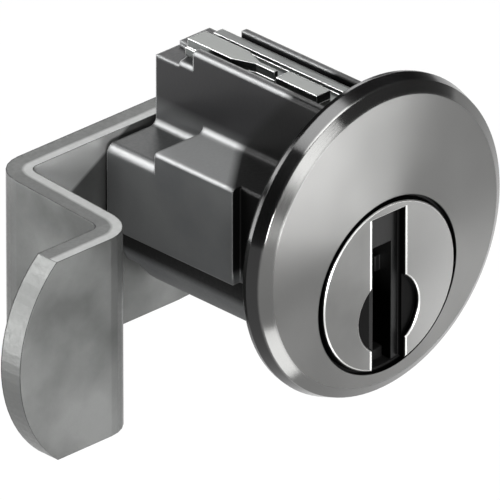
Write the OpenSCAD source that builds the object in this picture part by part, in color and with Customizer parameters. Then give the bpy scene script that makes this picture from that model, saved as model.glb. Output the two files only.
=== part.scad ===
// Cam lock for a mailbox door: a die-cast housing with an off-centre round face,
// a pin tumbler plug and a hooked cam on the plug's tail.
// +X is right and +Z is up, seen from the front. +Y runs into the box, along the plug.
// The origin is on the plug's axis, in the plane where the head seats on the door.

/* [Face] */
// Diameter of the face at its rim
face_d = 27; // [25:0.1:29]
// Diameter of the face inside its bevel
face_edge_d = 24.4; // [22:0.1:24.6]
// Diameter where the bevel meets the rim's side
face_side_d = 26.3; // [25:0.1:26.6]
// Height of the face's centre above the plug's axis
face_rise = 3.7; // [3:0.1:4.2]
// Depth of the head from the plug's face to the door
head_depth = 3.2; // [2.8:0.1:4]
// Fall of the domed face from its middle to its bevel
dome_drop = 0.47; // [0.1:0.01:0.7]
// Depth of the bevel
bevel_drop = 0.6; // [0.3:0.05:0.9]
// Thickness of the face cap's sheet
cap_sheet = 0.45; // [0.3:0.05:0.6]
// Depth of the cast edge that shows behind the cap
cast_edge = 0.6; // [0.3:0.05:0.9]
// Width of the cap's crimped lip, along the plug
lip_w = 0.4; // [0.25:0.05:0.5]
// Reach of the crimped lip into the casting's groove
lip_in = 0.5; // [0.3:0.05:0.7]

/* [Housing] */
// Length of the housing behind the door's face
body_l = 20; // [18:0.5:24]
// Radius of the round barrel
barrel_r = 7.3; // [7:0.1:7.5]
// Width of the body at its neck
neck_w = 15.2; // [14.8:0.1:15.8]
// Width of the body across its lugs
lug_w = 16.8; // [16.2:0.1:18]
// Distance from the door's face to the front of the lugs
lug_front = 5.75; // [4:0.25:7]
// Length of the low rear part of the lugs
lug_rear_l = 5.4; // [3:0.1:7]
// Height of the lugs at the rear
lug_low_z = 6.9; // [6:0.1:7.5]
// Step from the rear part of the lugs up to the front part
lug_step = 1.2; // [0.6:0.1:1.6]
// Underside of the lugs
lug_base_z = -0.3; // [-1:0.1:0.5]
// Width of the pin tower
tower_w = 6.1; // [5.6:0.1:7]
// Height of the tower's two rails
tower_z = 14.7; // [14:0.1:16]
// Depth of the channel between the rails
channel_depth = 1.4; // [1:0.1:1.8]
// Width of each rail
rail_w = 0.8; // [0.6:0.1:1]
// Distance from the rear of the housing to the rails
rail_back = 4.2; // [3:0.1:5]
// Radius on the casting's long edges
cast_r = 0.35; // [0.2:0.05:0.7]
// Radius on the upper edges of the lugs' low rear part
rear_edge_r = 0.8; // [0.4:0.05:1]
// Radius of the inside corner between the tower and the lugs
root_r = 0.6; // [0.3:0.05:0.8]
// Radius of the round cut at the rear of the tower's top
notch_r = 2.6; // [1.5:0.1:3]
// Depth of the round cut below the channel
notch_depth = 0.35; // [0.2:0.05:0.6]

/* [Plug] */
// Radius of the plug's body
plug_r = 6.35; // [6.2:0.05:6.5]
// Radius of the plug's head
plug_head_r = 7.2; // [7:0.05:7.4]
// Depth of the plug's head
plug_head_l = 1.9; // [1.7:0.1:2.2]
// Radial gap between the plug's head and the cap
head_gap = 0.32; // [0.15:0.01:0.4]
// Running clearance on a radius
run_clear = 0.05; // [0.03:0.01:0.08]
// Thread radius of the plug's tail
tail_r = 3.2; // [3:0.1:4]
// Width across the tail's two flats
tail_flats = 4.8; // [4:0.1:5.6]
// Length of the tail past the nut
tail_spare = 0.5; // [0.3:0.1:2]

/* [Keyway] */
// Width of the slot in the plug's face
slot_w = 3.5; // [3:0.1:4]
// Top of the slot above the plug's axis
slot_top = 6.3; // [5.5:0.1:6.5]
// Depth of the slot in the plug's face
slot_depth = 0.85; // [0.7:0.05:1.2]
// Radius of the round recess for the key's shoulder
recess_r = 3.2; // [2.8:0.1:3.5]
// Distance of the round recess below the plug's axis
recess_drop = 2.4; // [2:0.1:3]
// Depth of the round recess
recess_depth = 0.45; // [0.3:0.05:0.6]
// Chamfer on the edges of the slot and the recess
slot_chamfer = 0.18; // [0.1:0.02:0.25]
// Width of the keyway
key_w = 2; // [1.8:0.1:2.2]
// Top of the keyway above the plug's axis
key_top = 3.3; // [3:0.1:4]
// Depth of each ward groove
ward_depth = 0.5; // [0.3:0.05:0.6]
// Height of each ward groove
ward_h = 1.3; // [1:0.1:1.6]
// Distance of the left ward groove's bottom below the plug's axis
left_ward = 3.2; // [2.6:0.1:4]
// Distance of the right ward groove's bottom above the plug's axis
right_ward = 0.3; // [0:0.1:0.8]
// Distance from the slot's floor to the front of the wards
ward_front = 1.3; // [0.6:0.1:1.8]
// Length of the keyway past the last pin
key_spare = 2; // [1.6:0.1:2.4]

/* [Pins] */
// Distance between two pins
pin_pitch = 3.2; // [3.1:0.05:3.3]
// Distance from the door's face to the first pin
first_pin = 2.4; // [2:0.1:2.8]
// Radius of the pins
pin_r = 1.4; // [1.2:0.05:1.45]
// Length of each driver pin
driver_l = 3.9; // [3.5:0.1:4.2]
// Gap between the two pins of a stack at the shear line
shear_gap = 0.05; // [0.03:0.01:0.1]
// Lengths of the key pins, from the face to the tail
key_pin_l = [3.7, 4.8, 4.1, 5.1, 4.4];
// Length of a key pin's pointed end
key_pin_tip = 1.2; // [0.8:0.1:1.4]
// Bottom of the pin chambers in the plug, above its axis
chamber_floor = 0.1; // [-0.3:0.1:0.4]
// Wire radius of the pin springs
spring_wire_r = 0.13; // [0.1:0.01:0.16]
// Turns of each pin spring
spring_turns = 5.5; // [4:0.5:6.5]

/* [Pin cover] */
// Thickness of the pin cover
cover_t = 0.7; // [0.5:0.1:0.9]
// Distance from the rear of the housing to the pin cover
cover_back = 2.2; // [1.5:0.1:2.8]
// Height of the ribs formed in the cover
rib_h = 0.75; // [0.4:0.05:0.9]
// Width of the rear rib
rear_rib_w = 1.9; // [1.4:0.1:2.2]
// Length of the rear rib
rear_rib_l = 7; // [5:0.5:8]
// Width of the front rib
front_rib_w = 1.5; // [1:0.1:1.8]
// Length of the front rib
front_rib_l = 4.6; // [3:0.2:5.4]
// Distance from the door's face to the front rib
front_rib_y = 3.4; // [2:0.2:4]
// Width of the thin line that the rear rib runs out into
rib_line_w = 0.4; // [0.3:0.05:0.6]
// Length of that line, and of the taper behind it
rib_line_l = 2; // [1:0.1:2.2]
// Distance of the ribs to the left of the plug's axis
rib_shift = 0.8; // [0:0.1:0.9]
// Width of the flat band beside the ribs
band_w = 1; // [0.5:0.1:1.2]
// Side gap between the cover and each rail
cover_gap = 0.3; // [0.1:0.05:0.4]
// Gap between the cover's front end and the head
cover_front = 0.2; // [0.1:0.05:0.6]

/* [Stop washer] */
// Thickness of the stop washer
stop_t = 0.55; // [0.4:0.05:0.8]
// Turn of the plug between its stops
turn_angle = 90; // [80:1:100]
// Angle that the stop tab spans
tab_angle = 24; // [18:1:30]
// Reach of the tab into the housing
tab_l = 1.3; // [1:0.1:2]
// Play of the tab in its notch, in degrees
tab_play = 0.6; // [0.4:0.1:1.5]

/* [Cam] */
// Thickness of the cam's plate
cam_t = 2.2; // [1.8:0.1:2.6]
// Height of the cam's strip
cam_h = 17.3; // [16:0.1:18]
// Distance of the strip's middle below the plug's axis
cam_drop = 1.35; // [0:0.05:1.5]
// Distance of the hook's middle below the plug's axis
hook_drop = 1.95; // [0:0.05:2.2]
// Distance from the plug's axis to the outside of the arm
arm_x = 18.4; // [17.8:0.1:21]
// Distance from the door's face to the front of the hook
hook_y = 8.2; // [6:0.1:12]
// Reach of the hook from the outside of the arm to where its curve starts
hook_straight = 6.6; // [5:0.1:9]
// Further reach of the hook's curved end
hook_bulge = 4; // [3:0.1:6]
// Inner radius of the cam's two bends
bend_r = 0.8; // [0.4:0.1:1.2]

/* [Nut and spring washer] */
// Thickness of the spring washer
lock_t = 0.8; // [0.6:0.1:1.2]
// Outer radius of the spring washer
lock_r = 5; // [4.6:0.1:6]
// Width of the split in the spring washer
split_w = 0.8; // [0.5:0.1:1.2]
// Turn of the split from +X towards -Z
split_angle = 20; // [0:5:60]
// Width of the nut across its flats
nut_af = 10; // [9:0.5:12]
// Thickness of the nut
nut_t = 2.4; // [2:0.1:4]

/* [Hidden] */
$fn = 96;

// Cuts pass this far through what they cut
cut = 1;
// Clearance between fixed pieces that are put together
fit = 0.05;
// Arc steps of a small rounded corner
corner_steps = 6;
// Steps of the domed face, from its middle to its bevel
dome_steps = 12;

face_r = face_d / 2;
face_edge_r = face_edge_d / 2;
face_side_r = face_side_d / 2;
bore_r = plug_r + run_clear;
head_bore_r = plug_head_r + run_clear + fit;
cap_hole_r = plug_head_r + head_gap;
// The plug's shoulder, which seats in the housing
shoulder_y = plug_head_l - head_depth;
// Depth of the face's front at a radius
function dome_y(r) = dome_drop * pow(r / face_edge_r, 2) - head_depth;
edge_y = dome_y(face_edge_r);
side_y = edge_y + bevel_drop;
// Depth of the casting's front at a radius, behind the cap's sheet
function cast_y(r) = dome_y(r) + cap_sheet + fit;
// Front of the crimped lip, and the inside of the cap behind the bevel
lip_y = -cast_edge - lip_w;
cap_in_r = face_r - cap_sheet;
lip_r = cap_in_r - lip_in;
// The edge of the casting that shows behind the cap
cast_edge_r = cap_in_r - 4 * fit;

channel_z = tower_z - channel_depth;
lug_high_z = lug_low_z + lug_step;
rail_end = body_l - rail_back;
chamber_r = pin_r + run_clear;
// The five pin stacks, from the face to the tail
stacks = [0:4];
function pin_y(i) = first_pin + i * pin_pitch;
keyway_end = pin_y(4) + key_spare;
// A flat pin end of this height stays inside the plug's round surface
key_pin_top = sqrt(pow(plug_r, 2) - pow(pin_r, 2)) - shear_gap;
driver_base = bore_r + shear_gap;
driver_top = driver_base + driver_l;
pin_chamfer = 0.15;
tip_r = 0.5;

stop_y = body_l + run_clear;
cam_y = stop_y + stop_t;
lock_y = cam_y + cam_t;
nut_y = lock_y + lock_t;
tail_end = nut_y + nut_t + tail_spare;
stop_r = bore_r - 4 * fit;
tab_in = bore_r + run_clear;
tab_out = barrel_r - run_clear;
// The tab's middle at rest, measured from +X towards -Z; the turn carries it on
tab_start = 90 - turn_angle / 2;

// Points of an arc about a centre
function arc(c, r, a, b) =
    [for (i = [0:corner_steps]) let (t = a + (b - a) * i / corner_steps) c + r * [cos(t), sin(t)]];

// Outline in X and Z, drawn along Y from one depth to another
module along_y(from, to) {
    translate([0, to, 0])
        rotate([90, 0, 0])
            linear_extrude(to - from)
                children();
}

// Solid of revolution about the Y axis, from a profile of radius and depth
module turned(points) {
    rotate([-90, 0, 0])
        rotate_extrude()
            polygon(points);
}

// Round bar about the Y axis
module bar(r, from, to) {
    translate([0, from, 0])
        rotate([-90, 0, 0])
            cylinder(r = r, h = to - from);
}

// Ring sector about the Y axis, from +X towards -Z
module sector(r_in, r_out, from, to, start, span) {
    translate([0, from, 0])
        rotate([-90, 0, 0])
            rotate([0, 0, start])
                rotate_extrude(angle = span)
                    translate([r_in, 0])
                        square([r_out - r_in, to - from]);
}

// Bar with the tail's two flats
module double_d(r, flats, from, to) {
    intersection() {
        bar(r, from, to);
        translate([-flats / 2, from - cut, -r - cut])
            cube([flats, to - from + 2 * cut, 2 * (r + cut)]);
    }
}

// Outline of a wall with round upper corners, as wide as the first value
module block_outline(w, low, high, r = cast_r) {
    polygon(concat(
        [[w / 2, low]],
        arc([w / 2 - r, high - r], r, 0, 90),
        arc([r - w / 2, high - r], r, 90, 180),
        [[-w / 2, low]]));
}

// Outline of the round inside corners between the tower and the top of the lugs
module root_outline(top) {
    reach = tower_w / 2 + root_r;
    polygon(concat(
        [[reach, top - cast_r]],
        arc([reach, top + root_r], root_r, -90, -180),
        arc([-reach, top + root_r], root_r, 0, -90),
        [[-reach, top - cast_r]]));
}

// Outer points of the face cap, from its middle to the crimp
function cap_outside() = concat(
    [for (i = [0:dome_steps]) let (r = face_edge_r * i / dome_steps) [r, dome_y(r)]],
    [[face_side_r, side_y], [face_r, lip_y], [face_r - fit, -cast_edge]]);

// Points of the casting's head, with the groove that the cap is crimped into
function head_points() = [
    [0, cast_y(0)],
    [face_edge_r / 2, cast_y(face_edge_r / 2)],
    [face_edge_r - cap_sheet, cast_y(face_edge_r)],
    [face_side_r - cap_sheet - 2 * fit, side_y + cap_sheet / 2],
    [cap_in_r - 2 * fit, lip_y - fit],
    [lip_r - fit, lip_y - fit],
    [lip_r - fit, fit - cast_edge],
    [cast_edge_r, fit - cast_edge],
    [cast_edge_r, 0],
    [0, 0]
];

module head() {
    translate([0, 0, face_rise])
        turned(head_points());
}

// Solid form of the casting, before its bores
module casting() {
    head();
    bar(barrel_r, -cut, body_l);
    along_y(-cut, body_l)
        block_outline(tower_w, 0, channel_z);
    along_y(-cut, rail_end)
        block_outline(tower_w, 0, tower_z);
    along_y(-cut, body_l - cut)
        block_outline(neck_w, lug_base_z, lug_low_z, rear_edge_r);
    along_y(-cut, body_l - lug_rear_l)
        block_outline(neck_w, lug_base_z, lug_high_z);
    along_y(lug_front, body_l)
        block_outline(lug_w, lug_base_z, lug_low_z, rear_edge_r);
    along_y(lug_front, body_l - lug_rear_l)
        block_outline(lug_w, lug_base_z, lug_high_z);
    along_y(-cut, body_l - lug_rear_l)
        root_outline(lug_high_z);
    along_y(-cut, body_l)
        root_outline(lug_low_z);
}

module housing() {
    color("#3c3e40")
        difference() {
            casting();
            bar(bore_r, -head_depth, body_l + cut);
            bar(head_bore_r, -head_depth, shoulder_y);
            channel();
            for (i = stacks)
                translate([0, pin_y(i), 0])
                    cylinder(r = chamber_r, h = tower_z);
            rear_notch();
            sector(bore_r - cut, barrel_r + cut, body_l - tab_l - run_clear, body_l + cut,
                   tab_start - tab_angle / 2 - tab_play, turn_angle + tab_angle + 2 * tab_play);
        }
}

// The channel that the pin cover lies in, open at the rear
module channel() {
    translate([rail_w - tower_w / 2, fit, channel_z])
        cube([tower_w - 2 * rail_w, body_l, tower_z]);
}

// The round cut at the rear left of the tower's top
module rear_notch() {
    translate([-tower_w / 2, body_l, channel_z - notch_depth])
        cylinder(r = notch_r, h = tower_z);
}

module face_cap() {
    inside = [
        [lip_r, -cast_edge],
        [lip_r, lip_y],
        [cap_in_r, lip_y],
        [face_side_r - 0.8 * cap_sheet, side_y + 0.6 * cap_sheet],
        [face_edge_r - 0.3 * cap_sheet, edge_y + cap_sheet]
    ];
    color("#b4b4b2")
        difference() {
            translate([0, 0, face_rise])
                turned(concat(cap_outside(), inside,
                    [for (i = [dome_steps - 1:-1:0]) let (r = face_edge_r * i / dome_steps)
                        [r, dome_y(r) + cap_sheet]]));
            bar(cap_hole_r, -head_depth - cut, 0);
        }
}

// Strip in the tower's channel, with two formed ribs and a flat band on top
module pin_cover() {
    half = tower_w / 2 - rail_w - cover_gap;
    rear = body_l - cover_back;
    mid_z = channel_z + cover_t / 2;
    color("#8a8c8c") {
        translate([-half, cover_front, channel_z])
            cube([2 * half, rear - cover_front, cover_t]);
        rear_rib(rear - fit, mid_z);
        translate([-rib_shift - front_rib_w / 2, front_rib_y, mid_z])
            cube([front_rib_w, front_rib_l, cover_t / 2 + rib_h]);
        translate([half - band_w, 2 * cover_front, mid_z])
            cube([band_w - fit, rear - 3 * cover_front, (cover_t + rib_h) / 2]);
    }
}

// Flat ridge that tapers at its front end and runs out into a thin line
module rear_rib(rear, base) {
    side = rear_rib_w / 2;
    line = rib_line_w / 2;
    wide = rear - rear_rib_l + rib_line_l;
    translate([-rib_shift, 0, base])
        linear_extrude(cover_t / 2 + rib_h)
            polygon([
                [-side, rear], [-side, wide], [-line, wide - rib_line_l],
                [-line, wide - 2 * rib_line_l], [line, wide - 2 * rib_line_l],
                [line, wide - rib_line_l], [side, wide], [side, rear]]);
}

// Outline in X and Z of the keyway, with a ward on each side, open below
module keyway_outline() {
    side = key_w / 2;
    low = -plug_head_r - cut;
    polygon([
        [-side, low], [-side, -left_ward],
        [ward_depth - side, -left_ward], [ward_depth - side, ward_h - left_ward],
        [-side, ward_h - left_ward], [-side, key_top], [side, key_top],
        [side, right_ward + ward_h], [side - ward_depth, right_ward + ward_h],
        [side - ward_depth, right_ward], [side, right_ward], [side, low]]);
}

// The slot and the round recess in the plug's face, with their chamfered edges
module face_slot() {
    low = -plug_head_r - cut;
    half = slot_w / 2;
    translate([-half, -head_depth - cut, low])
        cube([slot_w, slot_depth + cut, slot_top - low]);
    translate([0, 0, low])
        linear_extrude(slot_top + slot_chamfer / 2 - low)
            polygon([
                [-half - slot_chamfer - cut, -head_depth - cut],
                [half + slot_chamfer + cut, -head_depth - cut],
                [half, -head_depth + slot_chamfer],
                [-half, -head_depth + slot_chamfer]]);
    translate([0, 0, -recess_drop]) {
        bar(recess_r, -head_depth - cut, -head_depth + recess_depth);
        turned([
            [0, -head_depth - cut], [recess_r + slot_chamfer + cut, -head_depth - cut],
            [recess_r, -head_depth + slot_chamfer], [0, -head_depth + slot_chamfer]]);
    }
}

module plug() {
    color("#a5a5a3")
        difference() {
            union() {
                turned([
                    [0, -head_depth], [plug_head_r - slot_chamfer, -head_depth],
                    [plug_head_r, -head_depth + slot_chamfer], [plug_head_r, shoulder_y],
                    [plug_r, shoulder_y], [plug_r, stop_y], [0, stop_y]]);
                double_d(tail_r, tail_flats, stop_y - cut, tail_end);
            }
            face_slot();
            translate([-key_w / 2, -head_depth, -plug_head_r - cut])
                cube([key_w, slot_depth + ward_front, plug_head_r + cut + key_top]);
            along_y(-head_depth, keyway_end)
                keyway_outline();
            for (i = stacks)
                translate([0, pin_y(i), chamber_floor])
                    cylinder(r = chamber_r, h = plug_r);
        }
}

module stop_washer() {
    color("#8f9191")
        difference() {
            union() {
                bar(stop_r, stop_y, cam_y);
                sector(tail_r, tab_out, stop_y, cam_y, tab_start - tab_angle / 2, tab_angle);
                sector(tab_in, tab_out, body_l - tab_l, cam_y, tab_start - tab_angle / 2, tab_angle);
            }
            tail_hole(stop_y, cam_y);
        }
}

// Clearance hole for the plug's flatted tail
module tail_hole(from, to) {
    double_d(tail_r + run_clear, tail_flats + 2 * run_clear, from - cut, to + cut);
}

// Outline in X and Y of the bent strip: plate, arm and hook
function strip_outline() =
    let (out_r = bend_r + cam_t, right = cam_h)
    concat(
        [[right, cam_y]],
        arc([cam_t - arm_x + bend_r, cam_y - bend_r], bend_r, 90, 180),
        arc([cam_t - arm_x - out_r, hook_y + out_r], out_r, 0, -90),
        [[-2 * arm_x, hook_y], [-2 * arm_x, hook_y + cam_t]],
        arc([-arm_x - bend_r, hook_y + cam_t + bend_r], bend_r, -90, 0),
        arc([out_r - arm_x, lock_y - out_r], out_r, 180, 90),
        [[right, lock_y]]);

// Outline in X and Z of the strip: round behind the plug, bulged at the hook's end
module strip_ends() {
    half = cam_h / 2;
    bulge_r = (half * half + hook_bulge * hook_bulge) / (2 * hook_bulge);
    start = -arm_x - hook_straight;
    end_angle = asin(half / bulge_r);
    steps = 24;
    polygon(concat(
        [for (i = [0:steps]) let (t = -90 + 180 * i / steps)
            [0, -cam_drop] + half * [cos(t), sin(t)]],
        [[start, cam_h]],
        [for (i = [0:steps]) let (t = 180 - end_angle + 2 * end_angle * i / steps)
            [start - hook_bulge + bulge_r, -hook_drop] + bulge_r * [cos(t), sin(t)]],
        [[start, -cam_h]]));
}

// Outline in Y and Z of the strip, whose arm falls a little from the plate to the hook
module strip_side() {
    half = cam_h / 2;
    hook_end = hook_y + cam_t;
    polygon([
        [hook_y - cut, -hook_drop - half], [hook_end, -hook_drop - half],
        [cam_y, -cam_drop - half], [lock_y + cut, -cam_drop - half],
        [lock_y + cut, half - cam_drop], [cam_y, half - cam_drop],
        [hook_end, half - hook_drop], [hook_y - cut, half - hook_drop]]);
}

module cam() {
    color("#8c8e8e")
        difference() {
            intersection() {
                translate([0, 0, -cam_h])
                    linear_extrude(2 * cam_h)
                        polygon(strip_outline());
                along_y(hook_y - cut, lock_y + cut)
                    strip_ends();
                translate([-2 * arm_x, 0, 0])
                    rotate([90, 0, 90])
                        linear_extrude(2 * arm_x + cam_h)
                            strip_side();
            }
            tail_hole(cam_y, lock_y);
        }
}

module spring_washer() {
    color("#9a9c9c")
        difference() {
            bar(lock_r, lock_y, nut_y);
            bar(tail_r + 2 * run_clear, lock_y - cut, nut_y + cut);
            rotate([0, split_angle, 0])
                translate([0, lock_y - cut, -split_w / 2])
                    cube([lock_r + cut, lock_t + 2 * cut, split_w]);
        }
}

module cam_nut() {
    corner_r = nut_af / sqrt(3);
    bevel = corner_r - nut_af / 2;
    color("#9a9c9c")
        difference() {
            intersection() {
                translate([0, nut_y, 0])
                    rotate([-90, 0, 0])
                        cylinder(r = corner_r, h = nut_t, $fn = 6);
                turned([
                    [0, nut_y], [corner_r - bevel, nut_y], [corner_r + fit, nut_y + bevel / 2],
                    [corner_r + fit, nut_y + nut_t - bevel / 2], [corner_r - bevel, nut_y + nut_t],
                    [0, nut_y + nut_t]]);
            }
            bar(tail_r + run_clear, nut_y - cut, nut_y + nut_t + cut);
        }
}

module key_pin(i) {
    base = key_pin_top - key_pin_l[i];
    color("#b5935a")
        translate([0, pin_y(i), 0])
            rotate_extrude()
                polygon([
                    [0, base], [tip_r, base], [pin_r, base + key_pin_tip],
                    [pin_r, key_pin_top - pin_chamfer], [pin_r - pin_chamfer, key_pin_top],
                    [0, key_pin_top]]);
}

module driver_pin(i) {
    color("#b5935a")
        translate([0, pin_y(i), 0])
            rotate_extrude()
                polygon([
                    [0, driver_base], [pin_r - pin_chamfer, driver_base],
                    [pin_r, driver_base + pin_chamfer], [pin_r, driver_top - pin_chamfer],
                    [pin_r - pin_chamfer, driver_top], [0, driver_top]]);
}

// Coil spring between a driver pin and the pin cover
module pin_spring(i) {
    sides = 6;
    rings = spring_turns * 12;
    coil_r = chamber_r - spring_wire_r - 2 * run_clear;
    low = driver_top + spring_wire_r + fit / 2;
    high = channel_z - spring_wire_r - fit / 2;
    points = [for (n = [0:rings]) let (a = 360 * spring_turns * n / rings)
        for (k = [0:sides - 1]) let (b = 360 * k / sides, r = coil_r + spring_wire_r * cos(b))
            [r * cos(a), r * sin(a), low + (high - low) * n / rings + spring_wire_r * sin(b)]];
    walls = [for (n = [0:rings - 1]) for (k = [0:sides - 1]) let (m = (k + 1) % sides)
        [n * sides + k, (n + 1) * sides + k, (n + 1) * sides + m, n * sides + m]];
    ends = [[for (k = [0:sides - 1]) k], [for (k = [sides - 1:-1:0]) rings * sides + k]];
    color("#c2c4c4")
        translate([0, pin_y(i), 0])
            polyhedron(points, concat(walls, ends));
}

housing();
face_cap();
pin_cover();
plug();
stop_washer();
cam();
spring_washer();
cam_nut();
for (i = stacks) {
    key_pin(i);
    driver_pin(i);
    pin_spring(i);
}
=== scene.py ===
# Finish, light and camera for a mailbox cam lock
import math
import bpy
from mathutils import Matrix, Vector

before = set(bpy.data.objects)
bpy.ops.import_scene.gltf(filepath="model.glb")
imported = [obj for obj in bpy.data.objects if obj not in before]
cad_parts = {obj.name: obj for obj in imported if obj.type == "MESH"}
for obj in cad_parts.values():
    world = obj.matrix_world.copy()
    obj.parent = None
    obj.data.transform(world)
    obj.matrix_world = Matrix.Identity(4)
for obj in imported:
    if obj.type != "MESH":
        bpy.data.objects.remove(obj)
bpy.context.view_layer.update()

MM = 0.001

# Places where the finish changes, in millimetres from the plug's axis and the door's front
FACE_RISE = 3.7  # the round face's centre above the plug's axis
FACE_FLAT_RADIUS = 12.1  # where the face's flat meets its bevel
FACE_BEVEL_RADIUS = 13.15  # where the bevel meets the rolled rim
FACE_CROWN = 0.0029  # how far it falls for each square of its radius
CAP_HOLE_RADIUS = 7.55  # the face's hole round the plug
HEAD_BORE_RADIUS = 7.6  # the casting's bore round the plug's head
PLUG_FRONT = -3.2
PLUG_CHAMFER_RADIUS = 7.14  # middle of the chamfer round the plug's head
SLOT_EDGE = -1.99  # just outside the slot's left chamfer
SLOT_TOP = 6.3
THREAD_START = 19.0  # where the plug's tail comes out of the housing
THREAD_PITCH = 0.8
LUG_FRONT = 5.8
LUG_STEP = 14.4  # where the front lugs step down to the rear ones
LUG_TOP = 8.0  # top of the front lugs
LUG_BASE = -0.35
BARREL_SIDE = -3.2  # where the barrel comes out from under the lugs
COVER_RIB_TOP = 14.7
CAM_PLATE_FRONT = 20.4
CAM_SHEET = 2.2  # thickness of the cam's steel
CAM_ARM_MIDDLE = 14.0  # halfway between the plate's bend and the hook's
CAM_TIP = -24.95  # where the hook's curved end begins
PLATE_BEND = (-15.4, 19.8)  # centre of the bend from plate to arm, in X and Y
HOOK_BEND = (-19.2, 11.2)  # centre of the bend from arm to hook
BEND_INSIDE = 0.8  # radius of the sheet's inner side in both bends
BEND_OUTSIDE = BEND_INSIDE + CAM_SHEET

# Spans that nearly all values of a noise lie in: the narrow one gives stronger contrast
NOISE_SPAN = (0.3, 0.7)
NARROW_SPAN = (0.35, 0.65)

# The photograph's view and the studio, with lengths in millimetres
VIEW_AZIMUTH = -44.0
VIEW_ELEVATION = 27.0
VIEW_CENTRE = (-3.0, 9.4, -0.42)
VIEW_DISTANCE = 1667.0
VIEW_WIDTH = 39.277  # what the picture spans at its centre
LIT_POINT = (0.0, 8.0, 0.0)
FLOOR_HEIGHT = -110.0  # low enough to keep the lock's shadow soft
FLOOR_RADIUS = 3000.0

# Name, azimuth and elevation in degrees, distance and size in metres, brightness in a mirror
LIGHTS = [
    ("key_light", -39, 6, 0.6, (0.14, 0.14), 60.0),
    ("front_light", 3, 5, 0.35, (0.168, 0.297), 5.0),
    ("low_front_light", 30, -7, 0.35, (0.17, 0.162), 6.6),
    ("low_left_light", -16, -51, 0.12, (0.05, 0.05), 4.0),
    ("top_light", -60, 88, 0.5, (0.35, 0.35), 8.0),
    ("back_light", 136, 27, 0.6, (0.25, 0.2), 3.6),
    ("back_left_light", -134, 0, 0.35, (0.12, 0.24), 10.0),
    ("edge_light", -145, 38, 0.5, (0.25, 0.25), 9.0),
]


def linear(code):
    """Linear colour, with alpha, of an sRGB hex value."""
    parts = [int(code[i:i + 2], 16) / 255 for i in (1, 3, 5)]
    return tuple(c / 12.92 if c <= 0.04045 else ((c + 0.055) / 1.055) ** 2.4
                 for c in parts) + (1.0,)


def fill(tree, item, inputs):
    """Set a node's inputs, or link those that are given another node's output."""
    for name, value in dict(inputs).items():
        if isinstance(value, bpy.types.NodeSocket):
            tree.links.new(value, item.inputs[name])
        else:
            item.inputs[name].default_value = value


def node(tree, kind, settings=(), inputs=()):
    """Add one node with its settings and its values or links."""
    made = tree.nodes.new("ShaderNode" + kind)
    for name, value in dict(settings).items():
        setattr(made, name, value)
    fill(tree, made, inputs)
    return made


def new_metal(name):
    """New material, its nodes and its shader, whose inputs the caller fills."""
    material = bpy.data.materials.new(name)
    material.use_nodes = True
    tree = material.node_tree
    return material, tree, tree.nodes["Principled BSDF"]


def position(tree, origin=(0, 0, 0)):
    """Place on the piece, in millimetres from an origin."""
    metres = node(tree, "TexCoord").outputs["Object"]
    return node(tree, "VectorMath", {"operation": "MULTIPLY_ADD"},
                {0: metres, 1: (1 / MM,) * 3, 2: [-c for c in origin]}).outputs[0]


def coordinates(tree):
    """X, Y and Z of the place on the piece, in millimetres."""
    return node(tree, "SeparateXYZ", {}, {0: position(tree)}).outputs


def facing(tree):
    """X, Y and Z of the surface's own direction."""
    direction = node(tree, "NewGeometry").outputs["True Normal"]
    return node(tree, "SeparateXYZ", {}, {0: direction}).outputs


def around(tree, height):
    """Radius about an axis along Y at a height, and the direction outwards from that axis."""
    flat = node(tree, "VectorMath", {"operation": "MULTIPLY"},
                {0: position(tree, (0, 0, height)), 1: (1, 0, 1)}).outputs[0]
    radius = node(tree, "VectorMath", {"operation": "LENGTH"}, {0: flat}).outputs["Value"]
    outwards = node(tree, "VectorMath", {"operation": "NORMALIZE"}, {0: flat}).outputs[0]
    return radius, outwards


def around_bend(tree, centre, signs):
    """Distance from a bend's centre in X and Y, counted only on the outside of the bend."""
    offset = node(tree, "VectorMath", {"operation": "MULTIPLY"},
                  {0: position(tree, centre + (0,)), 1: signs + (0,)}).outputs[0]
    outside = node(tree, "VectorMath", {"operation": "MAXIMUM"},
                   {0: offset, 1: (0, 0, 0)}).outputs[0]
    return node(tree, "VectorMath", {"operation": "LENGTH"}, {0: outside}).outputs["Value"]


def fade(tree, *spans, low=0.0, high=1.0):
    """Value that is low until every span is passed, and then high.

    A span is a value with the two places where its fade starts and ends, or a mask.
    """
    share = None
    for span in spans:
        if isinstance(span, tuple):
            value, start, end = span
            span = node(tree, "MapRange", {},
                        {"Value": value, "From Min": start, "From Max": end}).outputs[0]
        if share is not None:
            span = node(tree, "Math", {"operation": "MULTIPLY"}, {0: share, 1: span}).outputs[0]
        share = span
    if (low, high) == (0.0, 1.0):
        return share
    return node(tree, "Math", {"operation": "MULTIPLY_ADD"},
                {0: share, 1: high - low, 2: low}).outputs[0]


def layers(tree, ground, *coats):
    """Colour of a ground under its coats; a coat is a mask and the colour where that is 1."""
    shown = linear(ground) if isinstance(ground, str) else ground
    for mask, coat in coats:
        colour = linear(coat) if isinstance(coat, str) else coat
        shown = node(tree, "Mix", {"data_type": "RGBA"},
                     {0: mask, 6: shown, 7: colour}).outputs[2]
    return shown


def grain(tree, size, detail, stretch=(1, 1, 1)):
    """Random marks of a size in millimetres; a stretch below 1 draws them out along an axis."""
    where = node(tree, "VectorMath", {"operation": "MULTIPLY"},
                 {0: position(tree), 1: stretch}).outputs[0]
    return node(tree, "TexNoise", {},
                {"Vector": where, "Scale": 1 / size, "Detail": detail}).outputs[0]


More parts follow.
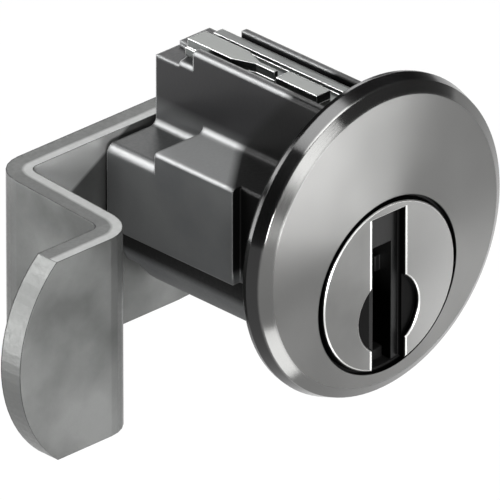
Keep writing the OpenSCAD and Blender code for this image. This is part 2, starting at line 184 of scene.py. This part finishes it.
def turned_lines(tree, height, width, spread):
    """Fine rings about an axis along Y, as a brush or a lathe leaves them.

    They are a width apart, and change along the ring as over a spread, in millimetres.
    """
    radius, outwards = around(tree, height)
    drift = node(tree, "VectorMath", {"operation": "SCALE"},
                 {0: outwards, "Scale": spread}).outputs[0]
    rings = node(tree, "CombineXYZ", {}, {"Y": radius}).outputs[0]
    where = node(tree, "VectorMath", {"operation": "ADD"}, {0: drift, 1: rings}).outputs[0]
    return node(tree, "TexNoise", {}, {"Vector": where, "Scale": 1 / width, "Detail": 3.0,
                                       "Roughness": 0.6}).outputs[0]


def worn_and_highlit_edges(tree, radius):
    """1 along the sharp edges that tumbling or wear has polished, where painted highlights go, 0
    on flat faces.
    """
    rounded = node(tree, "Bevel", {"samples": 6}, {"Radius": radius * MM}).outputs[0]
    flat = node(tree, "NewGeometry").outputs["Normal"]
    match = node(tree, "VectorMath", {"operation": "DOT_PRODUCT"},
                 {0: rounded, 1: flat}).outputs["Value"]
    return fade(tree, (match, 0.99, 0.86))


def relief(tree, edge, *patterns):
    """Normal with sharp edges rounded by some millimetres, and patterns pressed into it.

    A pattern is a height, how strongly it shows and its depth in millimetres.
    """
    normal = node(tree, "Bevel", {"samples": 6}, {"Radius": edge * MM}).outputs[0]
    for height, strength, depth in patterns:
        normal = node(tree, "Bump", {}, {"Strength": strength, "Distance": depth * MM,
                                         "Height": height, "Normal": normal}).outputs[0]
    return normal


def ringed(tree):
    """Inputs of a shader that spreads light across rings about an axis along Y."""
    tangent = node(tree, "Tangent", {"direction_type": "RADIAL", "axis": "Y"}).outputs[0]
    # A quarter turn takes the spread from along the rings to across them
    return {"Anisotropic Rotation": 0.25, "Tangent": tangent}


def brushed_face_steel():
    """Steel sheet, spun over the casting and brushed in rings: its light opens in a fan."""
    material, tree, shader = new_metal("brushed_face_steel")
    radius, _ = around(tree, FACE_RISE)
    from_plug, _ = around(tree, 0)
    cloud = grain(tree, 9, 2.0)
    # Rings of a fine belt, drawn 0.12 mm apart so that they show
    rings = turned_lines(tree, FACE_RISE, 0.12, 0.25)
    # Shade in the gap round the plug is painted black on the cut edge of the hole
    hole_shade = fade(tree, (from_plug, CAP_HOLE_RADIUS + 0.05, CAP_HOLE_RADIUS))
    # The rolled rim outside the bevel is painted dark: a painted dark reflection
    rim = fade(tree, (radius, FACE_BEVEL_RADIUS, FACE_BEVEL_RADIUS + 0.06))
    # The bevel and the rim are burnished smoother than the face
    smooth = fade(tree, (radius, FACE_FLAT_RADIUS, FACE_FLAT_RADIUS + 0.3), low=0.38, high=0.15)
    # Spinning leaves the sheet crowned: it leans back by 4 degrees more at the bevel
    inner = node(tree, "Math", {"operation": "MINIMUM"},
                 {0: radius, 1: FACE_FLAT_RADIUS}).outputs[0]
    square = node(tree, "Math", {"operation": "MULTIPLY"}, {0: inner, 1: inner}).outputs[0]
    crown = node(tree, "Math", {"operation": "MULTIPLY"}, {0: square, 1: -FACE_CROWN}).outputs[0]
    steel = layers(tree, "#676766", (fade(tree, (cloud, *NOISE_SPAN)), "#717170"),
                   (hole_shade, "#0c0c0c"), (rim, "#3a3a3a"))
    fill(tree, shader, {"Base Color": steel, "Metallic": 1.0, "Roughness": smooth,
                        "Anisotropic": 0.8, **ringed(tree),
                        "Normal": relief(tree, 0.12, (crown, 1.0, 1.0), (rings, 0.25, 0.01))})
    return material


def plated_plug_zinc():
    """Zinc plug, machined and plated: a satin face in fine rings round a slot painted dark with
    shade.
    """
    material, tree, shader = new_metal("plated_plug_zinc")
    x, y, z = coordinates(tree)
    depth = node(tree, "Math", {"operation": "SUBTRACT"}, {0: y, 1: PLUG_FRONT}).outputs[0]
    radius, _ = around(tree, 0)
    cloud = grain(tree, 5, 3.0)
    # Marks of the lathe, drawn 0.14 mm apart so that they show
    rings = turned_lines(tree, 0, 0.14, 0.3)
    # Light is painted onto the plating, brighter on the right, and a painted highlight over
    # burnish lies along the front edges
    painted_light_tone = fade(tree, (x, -3, 7))
    burnish_and_highlight = fade(tree, (depth, 0, 0.02), (depth, 0.1, 0.08))
    # A painted highlight runs down the slot's left edge
    beside = node(tree, "Math", {"operation": "SUBTRACT"}, {0: x, 1: SLOT_EDGE}).outputs[0]
    beside = node(tree, "Math", {"operation": "ABSOLUTE"}, {0: beside}).outputs[0]
    slot_edge_highlight = fade(tree, (beside, 0.14, 0.1), (facing(tree)["Y"], -0.9, -0.95),
                (depth, 0.2, 0.1), (z, SLOT_TOP + 0.1, SLOT_TOP))
    # The plating takes the painted light, and painted highlights over the wear of its sharp
    # edges
    plating = layers(tree, "#626261", (fade(tree, (cloud, *NOISE_SPAN)), "#6e6e6d"),
                     (painted_light_tone, "#8c8c8b"), (burnish_and_highlight, "#c8c8c6"),
                     (worn_and_highlit_edges(tree, 0.1), "#e6e6e4"), (slot_edge_highlight, "#f0f0ee"))
    # Behind its front edges the slot is painted dark with shade, as are the head's side
    # and the outer half of its chamfer in the gap, but the tail behind the housing is left
    # unshaded
    recess_shade = fade(tree, (depth, 0.08, 0.1))
    gap_shade = fade(tree, (radius, PLUG_CHAMFER_RADIUS, PLUG_CHAMFER_RADIUS + 0.02))
    recess_and_gap_shade = node(tree, "Math", {"operation": "MAXIMUM"}, {0: recess_shade, 1: gap_shade}).outputs[0]
    recess_and_gap_shade = fade(tree, recess_and_gap_shade, (y, THREAD_START + 1, THREAD_START))
    # The keyway is painted with light at its top and shade below
    keyway_light_and_shade = layers(tree, "#080808", (fade(tree, (z, -1.5, 2.5)), "#505050"))
    # Painted shade in the recess: black near the front, grey deeper in, then the keyway's
    # painted light and shade
    shaded_recess = layers(tree, "#0c0c0c", (fade(tree, (depth, 0.6, 0.7)), "#2c2c2c"),
                     (fade(tree, (depth, 0.9, 1.0)), keyway_light_and_shade))
    # Rolled thread on the tail
    turns = node(tree, "Math", {"operation": "PINGPONG"},
                 {0: y, 1: THREAD_PITCH / 2}).outputs[0]
    crests = fade(tree, turns, (y, THREAD_START, THREAD_START + 1))
    fill(tree, shader, {"Base Color": layers(tree, plating, (recess_and_gap_shade, shaded_recess)), "Metallic": 1.0,
                        "Roughness": 0.36, "Anisotropic": 0.35, **ringed(tree),
                        "Normal": relief(tree, 0.08, (rings, 0.25, 0.01), (crests, 1.0, 1.0))})
    return material


def dark_zinc_casting():
    """Zinc die casting, tumbled and plated black: satin, with a cast grain, worn edges, painted
    highlights and painted shade.
    """
    material, tree, shader = new_metal("dark_zinc_casting")
    x, y, z = coordinates(tree)
    radius, _ = around(tree, 0)
    cloud = grain(tree, 6, 3.0)
    # The grain of the die's skin, drawn 0.25 mm wide so that it shows
    skin = grain(tree, 0.25, 3.0)
    # The tower is painted darker than the lugs: a painted shade
    tower_shade = fade(tree, (z, 7.5, 9.5))
    # Tumbling has polished the plating through on the sharp edges above the barrel; a painted
    # highlight lies on them too
    worn_and_highlit = fade(tree, worn_and_highlit_edges(tree, 0.2), (z, 0.1, 0.5))
    # Painted light and shade: the tops of the front lugs are lighter than the rear ones
    lug_top = fade(tree, (facing(tree)["Z"], 0.85, 0.95), (z, LUG_TOP + 1.2, LUG_TOP + 1))
    painted_light_tone = layers(tree, "#727373", (fade(tree, (y, LUG_STEP, LUG_STEP + 0.3)), "#2c2d2d"))
    # Fillets and rounded edges between a side and a top get a painted highlight, behind the head
    rounded = node(tree, "Bevel", {"samples": 6}, {"Radius": 0.45 * MM}).outputs[0]
    lean = node(tree, "SeparateXYZ", {}, {0: rounded}).outputs
    sideways = node(tree, "Math", {"operation": "ABSOLUTE"}, {0: lean["X"]}).outputs[0]
    slant = node(tree, "Math", {"operation": "MULTIPLY"},
                 {0: sideways, 1: lean["Z"]}).outputs[0]
    behind = node(tree, "Math", {"operation": "MAXIMUM"},
                  {0: fade(tree, (y, LUG_FRONT - 0.4, LUG_FRONT)),
                   1: fade(tree, (z, 11, 12))}).outputs[0]
    fillet_highlight = fade(tree, (slant, 0.15, 0.5), behind, (z, 1, 2))
    # A painted shadow of the head blackens the corner behind it, up the tower and along the lugs
    across = node(tree, "Math", {"operation": "ABSOLUTE"}, {0: x}).outputs[0]
    outwards = node(tree, "Math", {"operation": "ADD"}, {0: across, 1: z}).outputs[0]
    reach = node(tree, "Math", {"operation": "MULTIPLY_ADD"},
                 {0: outwards, 1: 0.85, 2: y}).outputs[0]
    corner = node(tree, "Math", {"operation": "MAXIMUM"},
                  {0: fade(tree, (z, LUG_TOP - 0.2, LUG_TOP)),
                   1: fade(tree, (y, LUG_FRONT, LUG_FRONT - 0.04))}).outputs[0]
    head_shadow = fade(tree, (reach, 20.6, 19.5), corner, (z, 0, 1))
    # Shade is painted black along the barrel under the lugs, and into the bore round the plug
    under_lug_shade = fade(tree, (z, LUG_BASE, LUG_BASE - 0.1), (z, BARREL_SIDE, BARREL_SIDE + 0.9))
    bore_shade = fade(tree, (radius, HEAD_BORE_RADIUS + 0.1, HEAD_BORE_RADIUS), (y, 0, -0.2))
    plating = layers(tree, "#525354", (fade(tree, (cloud, *NARROW_SPAN)), "#5c5d5d"),
                     (tower_shade, "#1c1c1d"), (worn_and_highlit, "#a6a7a7"), (lug_top, painted_light_tone),
                     (fillet_highlight, "#8c8d8d"), (head_shadow, "#0c0c0c"), (under_lug_shade, "#0c0c0c"),
                     (bore_shade, "#0c0c0c"))
    # The barrel below the lugs keeps the rougher skin of the die
    rough = node(tree, "Math", {"operation": "ADD"},
                 {0: fade(tree, (z, -0.6, -0.3), low=0.75, high=0.36),
                  1: fade(tree, (skin, *NOISE_SPAN), low=-0.04, high=0.06)}).outputs[0]
    # The black film over the zinc hides more than half of its mirror
    fill(tree, shader, {"Base Color": plating, "Metallic": 0.4, "Roughness": rough,
                        "Specular IOR Level": 0.22,
                        "Normal": relief(tree, 0.22, (skin, 0.3, 0.02))})
    return material


def plated_cam_steel():
    """Stamped and bent steel plate, zinc plated: a soft grey sheen with faint smudges."""
    material, tree, shader = new_metal("plated_cam_steel")
    x, y, z = coordinates(tree)
    _, forward, upward = facing(tree)
    # The grain of the rolled sheet under its zinc, drawn 0.3 mm wide so that it shows
    skin = grain(tree, 0.3, 4.0)
    cloud = grain(tree, 9, 4.0)
    # Light is painted bright on the plate's front, up to the line of the lug's shadow near the
    # housing
    lug_shadow_line = node(tree, "Math", {"operation": "MULTIPLY_ADD"}, {0: x, 1: -0.58, 2: z}).outputs[0]
    plate_light = fade(tree, (lug_shadow_line, 10.3, 10.7), (y, CAM_PLATE_FRONT - 0.1, CAM_PLATE_FRONT),
                 (forward, -0.7, -0.9))
    # Depth into the sheet from its front side, round the plate's bend and the hook's
    in_plate = node(tree, "Math", {"operation": "SUBTRACT"},
                    {0: around_bend(tree, PLATE_BEND, (-1, 1)), 1: BEND_INSIDE}).outputs[0]
    in_hook = node(tree, "Math", {"operation": "SUBTRACT"},
                   {0: BEND_OUTSIDE, 1: around_bend(tree, HOOK_BEND, (1, -1))}).outputs[0]
    plate_half = node(tree, "Math", {"operation": "GREATER_THAN"},
                      {0: y, 1: CAM_ARM_MIDDLE}).outputs[0]
    depth = node(tree, "Mix", {}, {0: plate_half, 2: in_hook, 3: in_plate}).outputs[0]
    # The sheared edge goes round the upper and lower sides and the hook's curved end
    front = node(tree, "Math", {"operation": "ABSOLUTE"}, {0: forward}).outputs[0]
    level = node(tree, "Math", {"operation": "ABSOLUTE"}, {0: upward}).outputs[0]
    tip = node(tree, "Math", {"operation": "LESS_THAN"}, {0: x, 1: CAM_TIP}).outputs[0]
    rim = node(tree, "Math", {"operation": "MAXIMUM"},
               {0: fade(tree, (level, 0.25, 0.35)), 1: tip}).outputs[0]
    sheared = fade(tree, (front, 0.3, 0.2), rim)
    # It is burnished bright on its front side and torn dull behind
    ragged = node(tree, "Math", {"operation": "ADD"},
                  {0: depth, 1: fade(tree, (cloud, *NOISE_SPAN), low=-0.1, high=0.1)}).outputs[0]
    torn = fade(tree, (ragged, 0.7, 1.0))
    # A fine dark line is painted along both of its corners
    front_dark_line = fade(tree, (depth, 0.1, 0.05))
    back_dark_line = fade(tree, (depth, CAM_SHEET - 0.12, CAM_SHEET - 0.07))
    edge = layers(tree, "#868786", (torn, "#474847"), (tip, "#5c5d5c"),
                  (front_dark_line, "#202020"), (back_dark_line, "#202020"))
    zinc = layers(tree, "#484948", (fade(tree, (cloud, *NARROW_SPAN)), "#6a6b6a"),
                  (plate_light, "#c6c7c6"), (sheared, edge))
    # The zinc has gone dull with age, so less of it is a mirror
    fill(tree, shader, {"Base Color": zinc, "Metallic": 0.7,
                        "Roughness": fade(tree, (skin, *NOISE_SPAN), low=0.34, high=0.46),
                        "Normal": relief(tree, 0.1, (skin, 0.25, 0.015))})
    return material


def plated_small_steel():
    """Turned and plated steel of the nut and the washers: bright, in fine rings."""
    material, tree, shader = new_metal("plated_small_steel")
    # Marks of the lathe, drawn 0.15 mm apart so that they show
    rings = turned_lines(tree, 0, 0.15, 0.4)
    plating = layers(tree, "#8a8b88", (grain(tree, 3, 3.0), "#9a9a96"))
    fill(tree, shader, {"Base Color": plating, "Metallic": 1.0,
                        "Roughness": fade(tree, (rings, *NOISE_SPAN), low=0.26, high=0.36),
                        "Normal": relief(tree, 0.15, (rings, 0.2, 0.01))})
    return material


def rolled_cover_steel():
    """Thin rolled strip with pressed ribs: dark grey, scuffed along its length."""
    material, tree, shader = new_metal("rolled_cover_steel")
    _, _, z = coordinates(tree)
    # Scuffs of the rollers, drawn 0.15 mm wide so that they show
    scuffs = grain(tree, 0.15, 3.0, (1, 0.08, 1))
    # The tops of the ribs are painted lighter than the strip, a painted light, and their worn
    # edges get a white painted highlight
    rib_top_light = fade(tree, (z, COVER_RIB_TOP - 0.1, COVER_RIB_TOP), (facing(tree)["Z"], 0.8, 0.9))
    strip = layers(tree, "#4a4c4b", (fade(tree, (scuffs, *NARROW_SPAN)), "#5c5e5d"),
                   (rib_top_light, "#6a6c6a"), (worn_and_highlit_edges(tree, 0.12), "#f0f0ef"))
    fill(tree, shader, {"Base Color": strip, "Metallic": 1.0, "Roughness": 0.36,
                        "Normal": relief(tree, 0.12, (scuffs, 0.2, 0.01))})
    return material


def turned_pin_brass():
    """Brass bar turned on a lathe: warm yellow with fine rings about the pin."""
    material, tree, shader = new_metal("turned_pin_brass")
    # Marks of the lathe, drawn 0.1 mm apart so that they show
    rings = grain(tree, 0.1, 2.0, (0.1, 0.1, 1))
    turned = node(tree, "Bump", {}, {"Strength": 0.2, "Distance": 0.01 * MM,
                                     "Height": rings}).outputs[0]
    fill(tree, shader, {"Base Color": layers(tree, "#b08d4e", (rings, "#c4a262")),
                        "Metallic": 1.0, "Roughness": 0.28, "Normal": turned})
    return material


def drawn_spring_steel():
    """Drawn spring wire: bright, with faint die lines."""
    material, tree, shader = new_metal("drawn_spring_steel")
    # Marks of the drawing die, drawn 0.2 mm wide so that they show
    lines = grain(tree, 0.2, 2.0)
    fill(tree, shader, {"Base Color": layers(tree, "#a2a3a1", (lines, "#b4b5b2")),
                        "Metallic": 1.0,
                        "Roughness": fade(tree, (lines, *NOISE_SPAN), low=0.18, high=0.28)})
    return material


def dress():
    """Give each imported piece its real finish, by the start of its name."""
    brass = turned_pin_brass()
    small_steel = plated_small_steel()
    finishes = {
        "face_cap": brushed_face_steel(),
        "plug": plated_plug_zinc(),
        "housing": dark_zinc_casting(),
        "cam": plated_cam_steel(),
        "cam_nut": small_steel,
        "stop_washer": small_steel,
        "spring_washer": small_steel,
        "pin_cover": rolled_cover_steel(),
        "key_pin": brass,
        "driver_pin": brass,
        "spring_": drawn_spring_steel(),
    }
    for name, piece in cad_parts.items():
        start = max((key for key in finishes if name.startswith(key)), key=len)
        piece.data.materials.clear()
        piece.data.materials.append(finishes[start])


def floor():
    """Plain white studio floor below the lock, which takes its shadow."""
    bpy.ops.mesh.primitive_circle_add(vertices=96, radius=FLOOR_RADIUS * MM, fill_type="NGON",
                                      location=(0, 0, FLOOR_HEIGHT * MM))
    piece = bpy.context.object
    piece.name = "studio_floor"
    material = bpy.data.materials.new("studio_floor_paper")
    material.use_nodes = True
    tree = material.node_tree
    tree.nodes.remove(tree.nodes["Principled BSDF"])
    # The camera and the metal see the paper white; the light that it throws back is grey
    rays = node(tree, "LightPath").outputs
    seen = rays["Is Camera Ray"]
    for kind in ("Is Glossy Ray", "Is Transmission Ray"):
        seen = node(tree, "Math", {"operation": "MAXIMUM"}, {0: seen, 1: rays[kind]}).outputs[0]
    paper = node(tree, "BsdfDiffuse", {}, {"Color": linear("#585858")}).outputs[0]
    shaded = node(tree, "BsdfDiffuse", {}, {"Color": linear("#3c3c3c")}).outputs[0]
    glow = node(tree, "Emission", {}, {"Color": (1, 1, 1, 1), "Strength": 0.94}).outputs[0]
    white = node(tree, "AddShader", {}, {0: shaded, 1: glow}).outputs[0]
    shown = node(tree, "MixShader", {}, {0: seen, 1: paper, 2: white}).outputs[0]
    fill(tree, tree.nodes["Material Output"], {"Surface": shown})
    piece.data.materials.append(material)


def studio_walls():
    """Walls and ceiling: pale at the floor's edge and overhead, dark between."""
    world = bpy.data.worlds.new("studio_walls")
    bpy.context.scene.world = world
    world.use_nodes = True
    tree = world.node_tree
    tree.nodes.clear()
    direction = node(tree, "TexCoord").outputs["Generated"]
    height = node(tree, "SeparateXYZ", {}, {0: direction}).outputs["Z"]
    steps = node(tree, "ValToRGB", {}, {0: height})
    tones = [(0.0, 0.3), (0.1, 0.14), (0.3, 0.08), (0.6, 0.12), (1.0, 0.3)]
    points = steps.color_ramp.elements
    while len(points) < len(tones):
        points.new(0.5)
    for point, (place, tone) in zip(points, tones):
        point.position = place
        point.color = (tone, tone, tone, 1.0)
    # Beyond its edge the white floor goes on to the horizon
    below = node(tree, "Math", {"operation": "LESS_THAN"}, {0: height, 1: 0.0}).outputs[0]
    wall = layers(tree, steps.outputs["Color"], (below, "#ffffff"))
    shown = node(tree, "Background", {}, {"Color": wall, "Strength": 1.0}).outputs[0]
    node(tree, "OutputWorld", {}, {"Surface": shown})


def bearing(azimuth, elevation):
    """Direction from the lock to a place round it; azimuth 0 is the front, below 0 the left."""
    a, e = math.radians(azimuth), math.radians(elevation)
    return Vector((math.sin(a) * math.cos(e), -math.cos(a) * math.cos(e), math.sin(e)))


def look_at(thing, target, direction, distance):
    """Put a lamp or a camera at a distance from its target, looking back at it."""
    bpy.context.collection.objects.link(thing)
    thing.location = Vector(target) * MM + direction * distance
    thing.rotation_euler = direction.to_track_quat("Z", "Y").to_euler()


def softboxes():
    """Rectangular soft lights round the lock."""
    for name, azimuth, elevation, distance, size, level in LIGHTS:
        data = bpy.data.lights.new(name, "AREA")
        data.shape = "RECTANGLE"
        data.size, data.size_y = size
        # A flat light's power for the brightness that a mirror shows
        data.energy = level * math.pi * size[0] * size[1]
        lamp = bpy.data.objects.new(name, data)
        look_at(lamp, LIT_POINT, bearing(azimuth, elevation), distance)


def camera():
    """The photograph's view: from the front left and above, through a long lens."""
    data = bpy.data.cameras.new("camera")
    data.sensor_width = 36.0
    data.lens = data.sensor_width * VIEW_DISTANCE / VIEW_WIDTH
    data.clip_end = 20.0
    eye = bpy.data.objects.new("camera", data)
    look_at(eye, VIEW_CENTRE, bearing(VIEW_AZIMUTH, VIEW_ELEVATION), VIEW_DISTANCE * MM)
    bpy.context.scene.camera = eye


camera()
dress()
floor()
studio_walls()
softboxes()
bpy.context.scene.view_settings.view_transform = "Standard"
